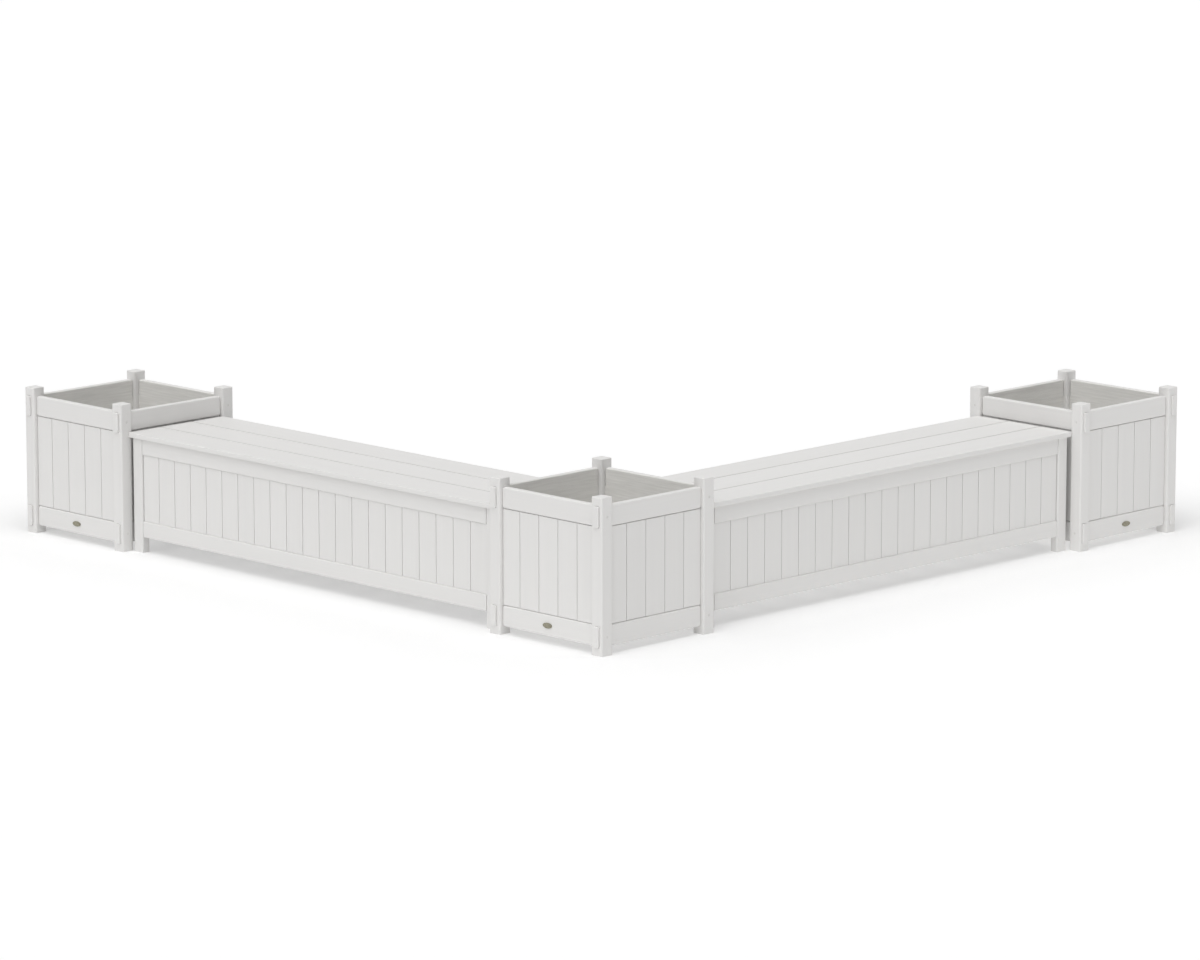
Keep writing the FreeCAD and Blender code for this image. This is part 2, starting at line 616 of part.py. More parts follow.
def on_hinge_line(radius, y_low, y_high):
    """A cylinder around the hinge's axis."""
    return Part.makeCylinder(radius, y_high - y_low, Vector(HINGE_X, y_low, HINGE_Z), Y_AXIS)


def frame_leaf(middle):
    """The upright leaf on the rear rail, with the two outer knuckles and room for the middle one."""
    low, high = middle - HINGE_LENGTH / 2, middle + HINGE_LENGTH / 2
    inner_low = middle - HINGE_LENGTH / 6 - KNUCKLE_GAP
    inner_high = middle + HINGE_LENGTH / 6 + KNUCKLE_GAP
    back = LONG_RAIL_FACE + LEAF_THICKNESS
    plate = box((LONG_RAIL_FACE, low, HINGE_Z - KNUCKLE_RADIUS - LEAF_WIDTH), (back, high, HINGE_Z))
    room = box((LONG_RAIL_FACE - OVERCUT, inner_low, HINGE_Z - KNUCKLE_RADIUS - HINGE_GAP),
               (back + OVERCUT, inner_high, HINGE_Z + OVERCUT))
    knuckles = [on_hinge_line(KNUCKLE_RADIUS, low, inner_low),
                on_hinge_line(KNUCKLE_RADIUS, inner_high, high)]
    leaf = plate.cut(room).fuse(knuckles)
    bore = on_hinge_line(PIN_RADIUS + PIN_GAP, low - OVERCUT, high + OVERCUT)
    return leaf.cut([bore] + frame_leaf_screws_at(leaf_screw_hole(), middle)).removeSplitter()


def lid_leaf(middle):
    """The flat leaf under the lid, with the middle knuckle."""
    low, high = middle - HINGE_LENGTH / 2, middle + HINGE_LENGTH / 2
    inner_low, inner_high = middle - HINGE_LENGTH / 6, middle + HINGE_LENGTH / 6
    front = LONG_RAIL_FACE - LEAF_WIDTH
    flap = box((front, low, LID_LEAF_BOTTOM), (LONG_RAIL_FACE - HINGE_GAP, high, LID_UNDERSIDE))
    tab = box((front, inner_low, LID_LEAF_BOTTOM), (HINGE_X, inner_high, LID_UNDERSIDE))
    leaf = flap.fuse([tab, on_hinge_line(KNUCKLE_RADIUS, inner_low, inner_high)])
    bore = on_hinge_line(PIN_RADIUS + PIN_GAP, inner_low - OVERCUT, inner_high + OVERCUT)
    return leaf.cut([bore] + lid_leaf_screws_at(leaf_screw_hole(), middle)).removeSplitter()


def hinge_pin(middle):
    """The pin, with a flat head at each end."""
    low, high = middle - HINGE_LENGTH / 2, middle + HINGE_LENGTH / 2
    heads = [on_hinge_line(PIN_HEAD_RADIUS, low - PIN_HEAD_HEIGHT, low),
             on_hinge_line(PIN_HEAD_RADIUS, high, high + PIN_HEAD_HEIGHT)]
    return on_hinge_line(PIN_RADIUS, low, high).fuse(heads).removeSplitter()


def hinge_recess(middle):
    """The cut in the rear top rail that the lid's leaf drops into."""
    half = HINGE_LENGTH / 2 + PIN_HEAD_HEIGHT + HINGE_GAP
    low = (LONG_RAIL_FACE - LEAF_WIDTH - HINGE_GAP, middle - half, LID_LEAF_BOTTOM - HINGE_GAP)
    return box(low, (LONG_RAIL_FACE + OVERCUT, middle + half, FRAME_TOP + OVERCUT))


def plank_pairs():
    """The near and the far edge of each plank."""
    pitch = (SEAT_DEPTH + PLANK_GAP) / PLANK_COUNT
    lows = [-SEAT_DEPTH / 2 + i * pitch for i in range(PLANK_COUNT)]
    return [(low, low + pitch - PLANK_GAP) for low in lows]


def batten_places():
    return spread(BATTEN_COUNT, FRAME_HALF_Y - BATTEN_END_INSET)


def at_batten_screws(shape):
    """A screw or a hole at each side of each plank, where a batten crosses it, from below."""
    reach = LONG_RAIL_INNER - BATTEN_CLEARANCE
    z = LID_UNDERSIDE - BATTEN_THICKNESS + BATTEN_SCREW_SUNK
    placed = []
    for y in batten_places():
        for low, high in plank_pairs():
            near = max(low, -reach) + BATTEN_SCREW_INSET
            far = min(high, reach) - BATTEN_SCREW_INSET
            placed += [aimed(shape, (x, y, z), Z_AXIS * -1) for x in (near, far)]
    return placed


def batten_screws():
    length = BATTEN_THICKNESS - BATTEN_SCREW_SUNK + BATTEN_SCREW_BITE
    return at_batten_screws(screw(BATTEN_SCREW_HEAD_RADIUS, BATTEN_SCREW_HEAD_HEIGHT,
                                  BATTEN_SCREW_RADIUS, length))


def batten_screw_holes():
    length = BATTEN_THICKNESS - BATTEN_SCREW_SUNK + BATTEN_SCREW_BITE
    return at_batten_screws(screw_hole(BATTEN_SCREW_HEAD_RADIUS, BATTEN_SCREW_HEAD_HEIGHT,
                                       BATTEN_SCREW_RADIUS, length, BATTEN_SCREW_SUNK))


def seat_planks():
    """The lid's planks, rounded all over, with the blind holes of the screws from below."""
    holes = batten_screw_holes()
    for middle in hinge_places():
        holes += lid_leaf_screws_at(leaf_screw_hole(), middle)
    planks = []
    for low, high in plank_pairs():
        plank = box((low, -SEAT_LENGTH / 2, LID_UNDERSIDE), (high, SEAT_LENGTH / 2, BENCH_HEIGHT))
        plank = plank.makeFillet(PLANK_EDGE_RADIUS, plank.Edges)
        planks.append(cut_all(plank, holes))
    return planks


def lid_battens():
    """Battens across the planks, clear of the rails, with their lower edges cut off."""
    reach = LONG_RAIL_INNER - BATTEN_CLEARANCE
    bottom = LID_UNDERSIDE - BATTEN_THICKNESS
    holes = batten_screw_holes()
    battens = []
    for y in batten_places():
        batten = box((-reach, y - BATTEN_WIDTH / 2, bottom), (reach, y + BATTEN_WIDTH / 2, LID_UNDERSIDE))
        batten = batten.makeChamfer(BATTEN_EDGE_CHAMFER, edges_in_plane(batten, Z_AXIS, bottom))
        battens.append(cut_all(batten, holes))
    return battens


def rear_rails(front_rails):
    """The rear rails: the front ones turned round, cut for the hinges."""
    cuts = [hinge_recess(middle) for middle in hinge_places()]
    for middle in hinge_places():
        cuts += frame_leaf_screws_at(leaf_screw_hole(), middle)
    return [cut_all(turned(rail, 180), cuts) for rail in front_rails]


def make_bench():
    """A bench around the origin, along Y, with its front towards low X and its hinges at the rear."""
    front_rails = bench_rails(LONG_TENON_END, LEG_INNER_Y, FRAME_HALF_X)
    end_rails = bench_rails(END_TENON_END, LEG_INNER_X, FRAME_HALF_Y)
    front_boards = bench_boards(LEG_INNER_Y, FRAME_HALF_X, BENCH_LONG_BOARD_COUNT)
    end_boards = bench_boards(LEG_INNER_X, FRAME_HALF_Y, BENCH_END_BOARD_COUNT)
    frame_screws = []
    lid_screws = batten_screws()
    for middle in hinge_places():
        frame_screws += frame_leaf_screws_at(leaf_screw(), middle)
        lid_screws += lid_leaf_screws_at(leaf_screw(), middle)
    return {
        "legs": [bench_leg(x, y) for x in (-1, 1) for y in (-1, 1)],
        "long_rails": front_rails + rear_rails(front_rails),
        "end_rails": both_sides([turned(rail, 90) for rail in end_rails]),
        "front_boards": front_boards,
        "rear_boards": [turned(b, 180) for b in front_boards],
        "end_boards": both_sides([turned(b, 90) for b in end_boards]),
        "floor_bearers": bench_bearers(),
        "floor_slats": bench_slats(),
        "seat_planks": seat_planks(),
        "lid_battens": lid_battens(),
        "lid_screws": lid_screws,
        "hinge_frame_leaves": [frame_leaf(middle) for middle in hinge_places()],
        "hinge_lid_leaves": [lid_leaf(middle) for middle in hinge_places()],
        "hinge_pins": [hinge_pin(middle) for middle in hinge_places()],
        "hinge_screws": frame_screws,
    }


def write_unit(unit, group, degrees, x, y):
    """Turn a unit, set it down in the row around the origin, and write one file for each of its nodes."""
    for name, solids in group.items():
        placed = [moved(turned(solid, degrees), x - ROW_MIDDLE, y - ROW_MIDDLE) for solid in solids]
        shape = placed[0] if len(placed) == 1 else Part.makeCompound(placed)
        shape.exportStep(os.path.join("parts", unit + "_" + name + ".step"))


def main():
    os.makedirs("parts", exist_ok=True)
    planter = make_planter()
    bench = make_bench()
    near_end = PLANTER_SIDE / 2
    far_end = ARM_STEP + PLANTER_SIDE / 2
    bench_middle = (near_end + far_end) / 2
    left_line = SEAT_SETBACK - BENCH_SIDE_SHIFT + SEAT_DEPTH / 2
    right_line = SEAT_SETBACK + BENCH_SIDE_SHIFT + SEAT_DEPTH / 2
    write_unit("corner_planter", planter, 0, near_end, near_end)
    write_unit("left_planter", planter, 0, near_end, far_end)
    write_unit("right_planter", planter, 90, far_end, near_end)
    write_unit("left_bench", bench, 0, left_line, bench_middle)
    write_unit("right_bench", bench, 90, bench_middle, right_line)


main()
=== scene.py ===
import math

import bmesh
import bpy
from mathutils import Matrix, Vector


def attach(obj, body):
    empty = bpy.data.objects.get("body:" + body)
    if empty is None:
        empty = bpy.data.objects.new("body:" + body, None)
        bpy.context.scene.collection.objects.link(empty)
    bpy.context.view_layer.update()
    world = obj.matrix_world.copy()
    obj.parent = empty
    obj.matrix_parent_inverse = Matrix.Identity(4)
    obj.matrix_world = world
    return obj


# The picture's size in pixels, the lens that it was taken with, and how near and far the camera sees
PHOTO_WIDTH = 1200
PHOTO_HEIGHT = 960
FOCAL_LENGTH_PIXELS = 6089.5
SENSOR_WIDTH_MM = 36.0
CLIP_START_M = 0.1
CLIP_END_M = 300.0

# The camera's direction: it looks along +X +Y and down
CAMERA_HEADING_DEG = 44.96
CAMERA_TILT_DEG = 11.025

# Where the corner planter's outer front corner meets the floor, where the picture shows it, and how far
# in front of the camera it is, along the camera's direction
SEEN_POINT_M = (-1.4298, -1.4298, 0.0)
SEEN_PIXEL = (601.90, 657.40)
SEEN_DEPTH_M = 19.514

WHITE = (1.0, 1.0, 1.0)

# Light: a dim even room that looks white, a soft key lamp high up in front, and a wide lamp on the left
ROOM_LIGHT = 0.30
SEEN_ROOM_LIGHT = 1.0
KEY_STRENGTH = 1.42
KEY_HEADING_DEG = 225.0
KEY_ELEVATION_DEG = 72.0
KEY_WIDTH_DEG = 60.0
SIDE_STRENGTH = 0.77
SIDE_HEADING_DEG = 180.0
SIDE_ELEVATION_DEG = 42.0
SIDE_WIDTH_DEG = 60.0
LAMP_DISTANCE_M = 5.0

# The floor as it lights the object: pale, and glowing a little more on the right
FLOOR_SIZE_M = 120.0
FLOOR_ALBEDO = 0.8
FLOOR_GLOW_LEFT = 0.178
FLOOR_GLOW_RIGHT = 0.319
FLOOR_GLOW_CHANGE_M = 1.0

# The floor as the camera sees it: white in the open, with pale shadows. Within reach of the object
# its glow is less by the shade beside the object, and more by the lift under it
SEEN_FLOOR_ALBEDO = 0.82
SEEN_FLOOR_GLOW = 0.275
SEEN_FLOOR_SHADE = 0.155
SEEN_FLOOR_LIFT = 0.12
SEEN_FLOOR_SHADE_REACH_M = 0.75
SEEN_FLOOR_SHADE_SAMPLES = 4

# Most values of a noise lie between these two. Below, a pair named ROUGHNESS is a surface's at low and
# at high noise, and a pair named EDGE is the noise between which one kind of patch turns into the other
NOISE_LOW = 0.3
NOISE_HIGH = 0.7

# Lumber: off-white plastic with a faint sawn grain, broad streaks, fine pits and a tone for each board
LUMBER_LIGHT = (0.888, 0.880, 0.868)
LUMBER_DARK = (0.688, 0.680, 0.667)
LUMBER_ROUGHNESS = (0.62, 0.48)
OUTSIDE_CONTRAST = 0.22
GRAIN_LENGTH_M = 0.24
GRAIN_WIDTH_M = 0.0045
GRAIN_DEPTH_M = 0.00035
GRAIN_STRENGTH = 0.6
STREAK_LENGTH_M = 0.75
STREAK_WIDTH_M = 0.019
PIT_SIZE_M = 0.0016
PIT_DEPTH_SHARE = 0.25
BOARD_TONE = 0.3
BOARD_SHIFT_M = (7.0, 7.0, 7.0)

# Lumber inside the planters: a rougher grain relief, plain to see, and partly painted shade: a slightly
# warmer paint with the grain in stronger contrast
INSIDE_SHADE_LIGHT = (0.888, 0.878, 0.848)
INSIDE_SHADE_DARK = (0.688, 0.679, 0.650)
INSIDE_CONTRAST = 1.3
INSIDE_RELIEF = 4.0
INSIDE_GRAIN_LENGTH_M = 0.11
INSIDE_GRAIN_WIDTH_M = 0.006

# Seams between the seat planks: painted shade, also on the planks' rounded rims there
SEAM_SHADE_PAINT = (0.64, 0.63, 0.615)
SEAM_RIM_M = 0.004
SEAM_FADE_M = 0.001

# Plaque: aged bronze-coloured metal, under a film and bare
BRONZE_FILM = (0.25, 0.235, 0.175)
BRONZE_BARE = (0.36, 0.345, 0.27)
BRONZE_METALLIC = 0.8
BRONZE_ROUGHNESS = (0.5, 0.34)
BRONZE_PATCH_M = 0.006
BRONZE_PATCH_EDGE = (0.35, 0.65)
BRONZE_BRUSH_LENGTH_M = 0.02
BRONZE_BRUSH_WIDTH_M = 0.0005
BRONZE_BRUSH_DEPTH_M = 0.0001
BRONZE_BRUSH_STRENGTH = 0.4

# Hinges, their screws and the lid screws: stainless steel
STEEL_DARK = (0.50, 0.50, 0.49)
STEEL_LIGHT = (0.64, 0.64, 0.63)
STEEL_METALLIC = 1.0
STEEL_ROUGHNESS = (0.38, 0.26)
STEEL_BRUSH_LENGTH_M = 0.012
STEEL_BRUSH_WIDTH_M = 0.0004
STEEL_BRUSH_DEPTH_M = 0.00005
STEEL_BRUSH_STRENGTH = 0.3

# Screws in the posts: coated, and worn in patches
SCREW_COAT = (0.76, 0.75, 0.735)
SCREW_WORN = (0.62, 0.61, 0.59)
SCREW_ROUGHNESS = (0.45, 0.6)
SCREW_WEAR_M = 0.0015
SCREW_WEAR_EDGE = (0.4, 0.7)
SCREW_WEAR_DEPTH_M = 0.00005
SCREW_WEAR_STRENGTH = 0.3

# Board and plank spacing, in metres, from the middle of each unit
PLANTER_BOARD_PITCH_M = 0.0876
BENCH_LONG_BOARD_PITCH_M = 0.08167
BENCH_END_BOARD_PITCH_M = 0.08775
SEAT_PLANK_PITCH_M = 0.14667

# Half the clear width between a planter's rails, and how far behind their inner faces the inside
# grain starts to fade and ends
PLANTER_INSIDE_HALF_M = 0.225
INSIDE_FULL_M = 0.0005
INSIDE_END_M = 0.003

# Skirt over the top of a planter's boards, on the inside, flush with the rails' inner faces
SKIRT_HALF_LENGTH_M = 0.2098
SKIRT_THICKNESS_M = 0.0033
SKIRT_TOP_M = 0.4281
SKIRT_HEIGHT_M = 0.078
SKIRT_EDGE_RADIUS_M = 0.0015
SKIRT_EDGE_STEPS = 5

# The middle of each unit on the floor, in metres
UNIT_MIDDLES_M = {
    "left_planter": (-1.1708, 1.1778),
    "corner_planter": (-1.1708, -1.1708),
    "right_planter": (1.1778, -1.1708),
    "left_bench": (-1.1811, 0.0035),
    "right_bench": (0.0035, -1.1691),
}

# Which way the pieces of a unit run, for a unit whose front faces low X
ALONG_UNTURNED = {
    "posts": "Z",
    "legs": "Z",
    "front_boards": "Z",
    "rear_boards": "Z",
    "side_boards": "Z",
    "end_boards": "Z",
    "side_rails": "X",
    "cross_rails": "Y",
    "long_rails": "Y",
    "end_rails": "X",
    "seat_planks": "Y",
    "lid_battens": "X",
}
FLOOR_SLATS_ALONG = {"planter": "Y", "bench": "X"}
FLOOR_BEARERS_ALONG = {"planter": "X", "bench": "Y"}
QUARTER_TURN = {"X": "Y", "Y": "X", "Z": "Z"}


def pixel_offset(pixel):
    """How far a pixel lies right of and above the picture's middle, as slopes."""
    right = (pixel[0] - PHOTO_WIDTH / 2) / FOCAL_LENGTH_PIXELS
    up = (PHOTO_HEIGHT / 2 - pixel[1]) / FOCAL_LENGTH_PIXELS
    return right, up


def add_camera():
    heading = math.radians(CAMERA_HEADING_DEG)
    tilt = math.radians(CAMERA_TILT_DEG)
    level = Vector((math.cos(heading), math.sin(heading), 0.0))
    right = Vector((math.sin(heading), -math.cos(heading), 0.0))
    upright = Vector((0.0, 0.0, 1.0))
    forward = level * math.cos(tilt) - upright * math.sin(tilt)
    up = level * math.sin(tilt) + upright * math.cos(tilt)
    slope_right, slope_up = pixel_offset(SEEN_PIXEL)
    ray = forward + right * slope_right + up * slope_up
    place = Vector(SEEN_POINT_M) - ray * SEEN_DEPTH_M
    data = bpy.data.cameras.new("camera")
    data.sensor_fit = "HORIZONTAL"
    data.sensor_width = SENSOR_WIDTH_MM
    data.lens = FOCAL_LENGTH_PIXELS * SENSOR_WIDTH_MM / PHOTO_WIDTH
    data.clip_start = CLIP_START_M
    data.clip_end = CLIP_END_M
    camera = bpy.data.objects.new("camera", data)
    turn = Matrix((right, up, -forward)).transposed().to_4x4()
    camera.matrix_world = Matrix.Translation(place) @ turn
    bpy.context.scene.collection.objects.link(camera)
    bpy.context.scene.camera = camera


def add_lamp(name, strength, heading_deg, elevation_deg, width_deg):
    """A soft far lamp, by where it stands as seen from the object and how wide it looks."""
    heading = math.radians(heading_deg)
    elevation = math.radians(elevation_deg)
    data = bpy.data.lights.new(name, "SUN")
    data.energy = strength
    data.angle = math.radians(width_deg)
    lamp = bpy.data.objects.new(name, data)
    level = Vector((math.cos(heading), math.sin(heading), 0.0))
    towards_lamp = level * math.cos(elevation) + Vector((0.0, 0.0, math.sin(elevation)))
    lamp.rotation_euler = towards_lamp.to_track_quat("Z", "Y").to_euler()
    lamp.location = towards_lamp * LAMP_DISTANCE_M
    bpy.context.scene.collection.objects.link(lamp)


def add_node(tree, kind, inputs=None, **settings):
    """A shader node with its settings and the values of its named or numbered inputs."""
    node = tree.nodes.new(kind)
    for name, value in settings.items():
        setattr(node, name, value)
    for name, value in (inputs or {}).items():
        if isinstance(value, bpy.types.NodeSocket):
            tree.links.new(value, node.inputs[name])
        else:
            node.inputs[name].default_value = value
    return node


def math_node(tree, operation, first, second=0.0, third=0.0):
    inputs = {0: first, 1: second, 2: third}
    return add_node(tree, "ShaderNodeMath", inputs, operation=operation).outputs[0]


def colour(rgb):
    return (rgb[0], rgb[1], rgb[2], 1.0)


def mapped(tree, value, low, high, to_low=0.0, to_high=1.0):
    """The value, moved from the range low to high into the range to_low to to_high, and held there."""
    return add_node(tree, "ShaderNodeMapRange",
                    {"Value": value, "From Min": low, "From Max": high,
                     "To Min": to_low, "To Max": to_high}).outputs[0]


def colour_mix(tree, factor, first, second):
    """A mix of two colours. The Mix node's last pair of sockets named A and B holds colours."""
    mix = add_node(tree, "ShaderNodeMix", {"Factor": factor}, data_type="RGBA")
    for number, value in ((6, first), (7, second)):
        if isinstance(value, bpy.types.NodeSocket):
            tree.links.new(value, mix.inputs[number])
        else:
            mix.inputs[number].default_value = colour(value)
    return mix.outputs[2]


def seen_directly(tree):
    """1 for what the camera sees, by itself or in a gloss or through glass, and 0 for other light."""
    path = add_node(tree, "ShaderNodeLightPath")
    either = math_node(tree, "MAXIMUM", path.outputs["Is Camera Ray"], path.outputs["Is Glossy Ray"])
    return math_node(tree, "MAXIMUM", either, path.outputs["Is Transmission Ray"])


def add_room():
    world = bpy.data.worlds.new("white_room")
    world.use_nodes = True
    tree = world.node_tree
    tree.nodes.clear()
    unseen = add_node(tree, "ShaderNodeBackground", {"Color": colour(WHITE), "Strength": ROOM_LIGHT})
    seen = add_node(tree, "ShaderNodeBackground", {"Color": colour(WHITE), "Strength": SEEN_ROOM_LIGHT})
    mix = add_node(tree, "ShaderNodeMixShader",
                   {0: seen_directly(tree), 1: unseen.outputs[0], 2: seen.outputs[0]})
    add_node(tree, "ShaderNodeOutputWorld", {"Surface": mix.outputs[0]})
    bpy.context.scene.world = world


def glowing_paint(tree, albedo, glow):
    """A matt pale paint that also gives some light of its own."""
    paint = add_node(tree, "ShaderNodeBsdfDiffuse", {"Color": colour((albedo, albedo, albedo))})
    light = add_node(tree, "ShaderNodeEmission", {"Color": colour(WHITE), "Strength": glow})
    return add_node(tree, "ShaderNodeAddShader", {0: paint.outputs[0], 1: light.outputs[0]})


def floor_glow(tree):
    """The floor's glow, which rises from the left of the corner planter to its right."""
    place = add_node(tree, "ShaderNodeTexCoord").outputs["Object"]
    split = add_node(tree, "ShaderNodeSeparateXYZ", {0: place})
    to_right = math_node(tree, "SUBTRACT", split.outputs["X"], split.outputs["Y"])
    return mapped(tree, to_right, -FLOOR_GLOW_CHANGE_M, FLOOR_GLOW_CHANGE_M,
                  FLOOR_GLOW_LEFT, FLOOR_GLOW_RIGHT)


def seen_floor_glow(tree):
    """The glow of the floor that the camera sees: less beside the object and more under it.

    Beside it the white object fills its own shadow more than in the photo, and under it, below its
    rails, less light comes in."""
    openness = add_node(tree, "ShaderNodeAmbientOcclusion", {"Distance": SEEN_FLOOR_SHADE_REACH_M},
                        samples=SEEN_FLOOR_SHADE_SAMPLES).outputs["AO"]
    closeness = math_node(tree, "SUBTRACT", 1.0, openness)
    # Beside is 1 where half the view up from the floor is closed in, and 0 in the open and deep below
    beside = math_node(tree, "MULTIPLY", math_node(tree, "MULTIPLY", openness, closeness), 4.0)
    under = math_node(tree, "MULTIPLY", closeness, closeness)
    shaded = math_node(tree, "MULTIPLY_ADD", beside, -SEEN_FLOOR_SHADE, SEEN_FLOOR_GLOW)
    return math_node(tree, "MULTIPLY_ADD", under, SEEN_FLOOR_LIFT, shaded)


def floor_material():
    """White where the camera sees it in the open, with the object's shadow, and pale to the object."""
    material = bpy.data.materials.new("white_floor")
    material.use_nodes = True
    tree = material.node_tree
    tree.nodes.clear()
    seen = glowing_paint(tree, SEEN_FLOOR_ALBEDO, seen_floor_glow(tree))
    unseen = glowing_paint(tree, FLOOR_ALBEDO, floor_glow(tree))
    mix = add_node(tree, "ShaderNodeMixShader",
                   {0: seen_directly(tree), 1: unseen.outputs[0], 2: seen.outputs[0]})
    add_node(tree, "ShaderNodeOutputMaterial", {"Surface": mix.outputs[0]})
    return material


def add_floor():
    half = FLOOR_SIZE_M / 2
    mesh = bpy.data.meshes.new("floor")
    corners = [(-half, -half, 0.0), (half, -half, 0.0), (half, half, 0.0), (-half, half, 0.0)]
    mesh.from_pydata(corners, [], [(0, 1, 2, 3)])
    mesh.materials.append(floor_material())
    floor = bpy.data.objects.new("floor", mesh)
    bpy.context.scene.collection.objects.link(floor)


def new_material(name):
    """A new material, its node tree, its main shader, and the place on the object in metres."""
    material = bpy.data.materials.new(name)
    material.use_nodes = True
    tree = material.node_tree
    place = add_node(tree, "ShaderNodeTexCoord").outputs["Object"]
    return material, tree, tree.nodes["Principled BSDF"], place


def streaks(tree, place, along, length, width, detail=3.0, roughness=0.6):
    """Noise from 0 to 1 in streaks of this length along one axis and this width across it."""
    scale = [1.0 / length if axis == along else 1.0 / width for axis in "XYZ"]
    scaled = add_node(tree, "ShaderNodeVectorMath", {0: place, 1: scale}, operation="MULTIPLY").outputs[0]
    texture = add_node(tree, "ShaderNodeTexNoise",
                       {"Vector": scaled, "Scale": 1.0, "Detail": detail, "Roughness": roughness})
    return texture.outputs["Fac"]


def clouds(tree, place, size, detail=3.0, roughness=0.6):
    """Noise from 0 to 1 in patches of this size."""
    return streaks(tree, place, "Z", size, size, detail, roughness)


def with_contrast(tree, value, contrast):
    """The value, moved to this share of its distance from the middle of the range, 0.5."""
    from_middle = math_node(tree, "SUBTRACT", value, 0.5)
    return math_node(tree, "MULTIPLY_ADD", from_middle, contrast, 0.5)


def roughness_from(tree, value, roughness):
    """A surface roughness that goes with a noise, from the first to the second of a pair."""
    return mapped(tree, value, NOISE_LOW, NOISE_HIGH, *roughness)


def join_finish(tree, shader, paint, roughness, height, depth, strength):
    """Joins a colour, a roughness and a relief of this depth and strength to the shader."""
    tree.links.new(paint, shader.inputs["Base Color"])
    tree.links.new(roughness, shader.inputs["Roughness"])
    bump = add_node(tree, "ShaderNodeBump", {"Height": height, "Strength": strength, "Distance": depth})
    tree.links.new(bump.outputs[0], shader.inputs["Normal"])


def board_number(tree, place, across, middle, pitch):
    """A whole number for each board or plank, counted across them."""
    split = add_node(tree, "ShaderNodeSeparateXYZ", {0: place})
    from_middle = math_node(tree, "SUBTRACT", split.outputs[across], middle)
    return math_node(tree, "FLOOR", math_node(tree, "DIVIDE", from_middle, pitch))


def inside_planter(tree, place, middle):
    """1 on faces that look into a planter, and 0 on those that look out of it."""
    from_middle = add_node(tree, "ShaderNodeVectorMath", {0: place, 1: (middle[0], middle[1], 0.0)},
                           operation="SUBTRACT").outputs[0]
    distance = add_node(tree, "ShaderNodeVectorMath", {0: from_middle}, operation="ABSOLUTE").outputs[0]
    split = add_node(tree, "ShaderNodeSeparateXYZ", {0: distance})
    farther = math_node(tree, "MAXIMUM", split.outputs["X"], split.outputs["Y"])
    return mapped(tree, farther, PLANTER_INSIDE_HALF_M + INSIDE_END_M,
                  PLANTER_INSIDE_HALF_M + INSIDE_FULL_M)


def seat_seam_shade(tree, place, across, centre):
    """Where shade is painted: 1 in the two seams between a seat's three planks and on the planks' rims
    there, and 0 elsewhere.
    """
    split = add_node(tree, "ShaderNodeSeparateXYZ", {0: place})
    from_centre = math_node(tree, "ABSOLUTE", math_node(tree, "SUBTRACT", split.outputs[across], centre))
    beyond_seam = math_node(tree, "SUBTRACT", from_centre, SEAT_PLANK_PITCH_M / 2)
    from_seam = math_node(tree, "ABSOLUTE", beyond_seam)
    return mapped(tree, from_seam, SEAM_RIM_M + SEAM_FADE_M, SEAM_RIM_M)


def outside_paint(tree, grain, streak, tone):
    """Mostly plain, with faint grain lines, broad streaks and, where boards have one, a tone for each."""
    shade = math_node(tree, "DIVIDE", math_node(tree, "ADD", grain, streak), 2.0)
    if tone:
        lifted = math_node(tree, "MULTIPLY", math_node(tree, "SUBTRACT", tone, 0.5), BOARD_TONE)
        shade = math_node(tree, "ADD", shade, lifted)
    return colour_mix(tree, with_contrast(tree, shade, OUTSIDE_CONTRAST), LUMBER_DARK, LUMBER_LIGHT)


def inside_shade_paint(tree, place, along):
    """Partly painted shade: a stronger and slightly warmer grain, for the faces that look into a planter,
    where shade falls.
    """
    rough = streaks(tree, place, along, INSIDE_GRAIN_LENGTH_M, INSIDE_GRAIN_WIDTH_M)
    return colour_mix(tree, with_contrast(tree, rough, INSIDE_CONTRAST), INSIDE_SHADE_DARK, INSIDE_SHADE_LIGHT)


